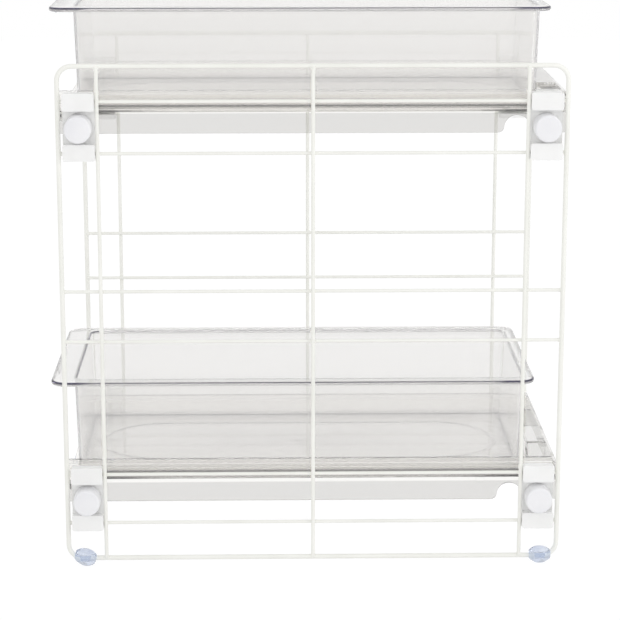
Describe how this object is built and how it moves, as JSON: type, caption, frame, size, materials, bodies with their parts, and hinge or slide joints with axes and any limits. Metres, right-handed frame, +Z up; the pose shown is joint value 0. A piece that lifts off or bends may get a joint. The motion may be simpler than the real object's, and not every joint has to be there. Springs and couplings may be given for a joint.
{
  "type": "under sink organizer",
  "caption": "Tiered under-sink organizer: wire side panels carry clear trays on screw clamps, and a clear bin with a grip lip slides out of each tray.",
  "frame": {"origin": "on the floor, under the middle of the whole object with its bins at rest", "axes": "+Z up; the bins pull out towards -X; +Y runs from the near panel to the far panel"},
  "size_m": [0.432, 0.2756, 0.4696],
  "materials": {
    "wire_white": "warm white powder coat, satin",
    "tray_clear": "clear moulded polystyrene, polished",
    "bin_clear": "clear moulded polystyrene, polished",
    "bracket_white": "white moulded plastic, satin",
    "knob_white": "white moulded plastic, smooth",
    "foot_vinyl": "bluish clear soft vinyl",
    "stud_steel": "zinc-plated steel"
  },
  "bodies": {
    "frame": {"near_rim": "wire_white", "near_uprights": "wire_white", "near_rungs": "wire_white", "far_rim": "wire_white", "far_uprights": "wire_white", "far_rungs": "wire_white", "foot_near_front": "foot_vinyl", "foot_near_rear": "foot_vinyl", "foot_far_front": "foot_vinyl", "foot_far_rear": "foot_vinyl", "lower_tray": "tray_clear", "upper_tray": "tray_clear", "bracket_lower_near_front": "bracket_white", "bracket_lower_near_rear": "bracket_white", "bracket_lower_far_front": "bracket_white", "bracket_lower_far_rear": "bracket_white", "bracket_upper_near_front": "bracket_white", "bracket_upper_near_rear": "bracket_white", "bracket_upper_far_front": "bracket_white", "bracket_upper_far_rear": "bracket_white", "clamp_nuts": "stud_steel"},
    "lower_bin": {"lower_bin": "bin_clear"},
    "upper_bin": {"upper_bin": "bin_clear"},
    "knob_lower_near_front": {"knob_lower_near_front": "knob_white", "stud_lower_near_front": "stud_steel"},
    "knob_lower_near_rear": {"knob_lower_near_rear": "knob_white", "stud_lower_near_rear": "stud_steel"},
    "knob_lower_far_front": {"knob_lower_far_front": "knob_white", "stud_lower_far_front": "stud_steel"},
    "knob_lower_far_rear": {"knob_lower_far_rear": "knob_white", "stud_lower_far_rear": "stud_steel"},
    "knob_upper_near_front": {"knob_upper_near_front": "knob_white", "stud_upper_near_front": "stud_steel"},
    "knob_upper_near_rear": {"knob_upper_near_rear": "knob_white", "stud_upper_near_rear": "stud_steel"},
    "knob_upper_far_front": {"knob_upper_far_front": "knob_white", "stud_upper_far_front": "stud_steel"},
    "knob_upper_far_rear": {"knob_upper_far_rear": "knob_white", "stud_upper_far_rear": "stud_steel"}
  },
  "joints": [
    {"name": "lower_bin_slide", "type": "slide", "parent": "frame", "child": "lower_bin", "axis": [-1, 0, 0], "range_m": [-0.0081, 0.2616]},
    {"name": "upper_bin_slide", "type": "slide", "parent": "frame", "child": "upper_bin", "axis": [-1, 0, 0], "range_m": [-0.0016, 0.2681]},
    {"name": "knob_lower_near_front_turn", "type": "hinge", "parent": "frame", "child": "knob_lower_near_front", "pos_m": [-0.1842, -0.1243, 0.05855], "axis": [0, -1, 0], "range_deg": [0, 720]},
    {"name": "knob_lower_near_rear_turn", "type": "hinge", "parent": "frame", "child": "knob_lower_near_rear", "pos_m": [0.1972, -0.1243, 0.05855], "axis": [0, -1, 0], "range_deg": [0, 720]},
    {"name": "knob_lower_far_front_turn", "type": "hinge", "parent": "frame", "child": "knob_lower_far_front", "pos_m": [-0.1842, 0.1243, 0.05855], "axis": [0, 1, 0], "range_deg": [0, 720]},
    {"name": "knob_lower_far_rear_turn", "type": "hinge", "parent": "frame", "child": "knob_lower_far_rear", "pos_m": [0.1972, 0.1243, 0.05855], "axis": [0, 1, 0], "range_deg": [0, 720]},
    {"name": "knob_upper_near_front_turn", "type": "hinge", "parent": "frame", "child": "knob_upper_near_front", "pos_m": [-0.1842, -0.1243, 0.37495], "axis": [0, -1, 0], "range_deg": [0, 720]},
    {"name": "knob_upper_near_rear_turn", "type": "hinge", "parent": "frame", "child": "knob_upper_near_rear", "pos_m": [0.1972, -0.1243, 0.37495], "axis": [0, -1, 0], "range_deg": [0, 720]},
    {"name": "knob_upper_far_front_turn", "type": "hinge", "parent": "frame", "child": "knob_upper_far_front", "pos_m": [-0.1842, 0.1243, 0.37495], "axis": [0, 1, 0], "range_deg": [0, 720]},
    {"name": "knob_upper_far_rear_turn", "type": "hinge", "parent": "frame", "child": "knob_upper_far_rear", "pos_m": [0.1972, 0.1243, 0.37495], "axis": [0, 1, 0], "range_deg": [0, 720]}
  ]
}
